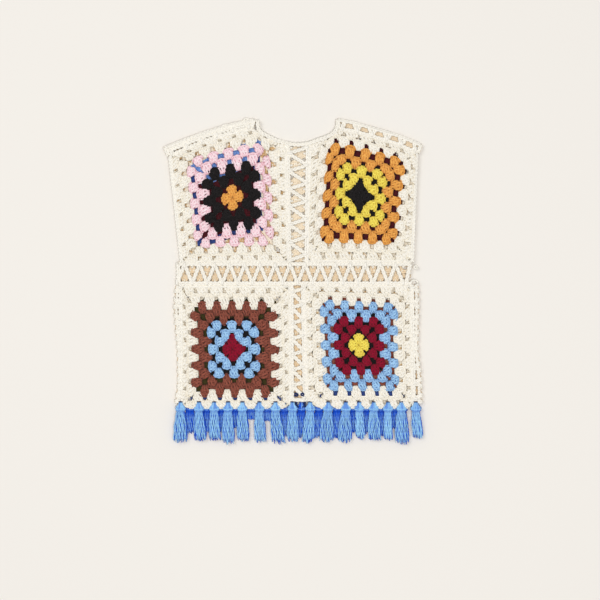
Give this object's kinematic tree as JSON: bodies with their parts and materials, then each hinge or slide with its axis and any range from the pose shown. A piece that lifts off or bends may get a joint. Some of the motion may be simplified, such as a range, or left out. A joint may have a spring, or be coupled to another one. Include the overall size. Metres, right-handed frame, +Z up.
{
  "type": "crochet vest of granny squares, laid flat",
  "caption": "Sleeveless crochet top of granny squares joined by zigzag chain bands, with a tasselled hem, laid flat with its front up.",
  "frame": {"origin": "middle of the vest's box, on the surface it lies on", "axes": "+Z up out of the front, +Y towards the neck, +X to the right as seen from above"},
  "size_m": [0.318, 0.4094, 0.0087],
  "materials": {
    "square_yarn": "matt worsted cotton in several colours, edged in cream",
    "band_yarn": "matt cream worsted cotton chain",
    "tassel_yarn": "soft blue cotton strands"
  },
  "bodies": {
    "root": {"front_square_upper_left": "square_yarn", "front_square_upper_right": "square_yarn", "front_square_lower_left": "square_yarn", "front_square_lower_right": "square_yarn", "back_square_upper_left": "square_yarn", "back_square_upper_right": "square_yarn", "back_square_lower_left": "square_yarn", "back_square_lower_right": "square_yarn", "front_waist_band": "band_yarn", "back_waist_band": "band_yarn", "front_middle_band_upper": "band_yarn", "front_middle_band_lower": "band_yarn", "back_middle_band_upper": "band_yarn", "back_middle_band_lower": "band_yarn", "shoulder_band_left": "band_yarn", "shoulder_band_right": "band_yarn", "side_band_left": "band_yarn", "side_band_right": "band_yarn", "front_tassel_01": "tassel_yarn", "front_tassel_02": "tassel_yarn", "front_tassel_03": "tassel_yarn", "front_tassel_04": "tassel_yarn", "front_tassel_05": "tassel_yarn", "front_tassel_06": "tassel_yarn", "front_tassel_07": "tassel_yarn", "front_tassel_08": "tassel_yarn", "front_tassel_09": "tassel_yarn", "front_tassel_10": "tassel_yarn", "front_tassel_11": "tassel_yarn", "front_tassel_12": "tassel_yarn", "front_tassel_13": "tassel_yarn", "front_tassel_14": "tassel_yarn", "front_tassel_15": "tassel_yarn", "front_tassel_16": "tassel_yarn", "back_tassel_01": "tassel_yarn", "back_tassel_02": "tassel_yarn", "back_tassel_03": "tassel_yarn", "back_tassel_04": "tassel_yarn", "back_tassel_05": "tassel_yarn", "back_tassel_06": "tassel_yarn", "back_tassel_07": "tassel_yarn", "back_tassel_08": "tassel_yarn", "back_tassel_09": "tassel_yarn", "back_tassel_10": "tassel_yarn", "back_tassel_11": "tassel_yarn", "back_tassel_12": "tassel_yarn", "back_tassel_13": "tassel_yarn", "back_tassel_14": "tassel_yarn", "back_tassel_15": "tassel_yarn", "back_tassel_16": "tassel_yarn"}
  },
  "joints": []
}
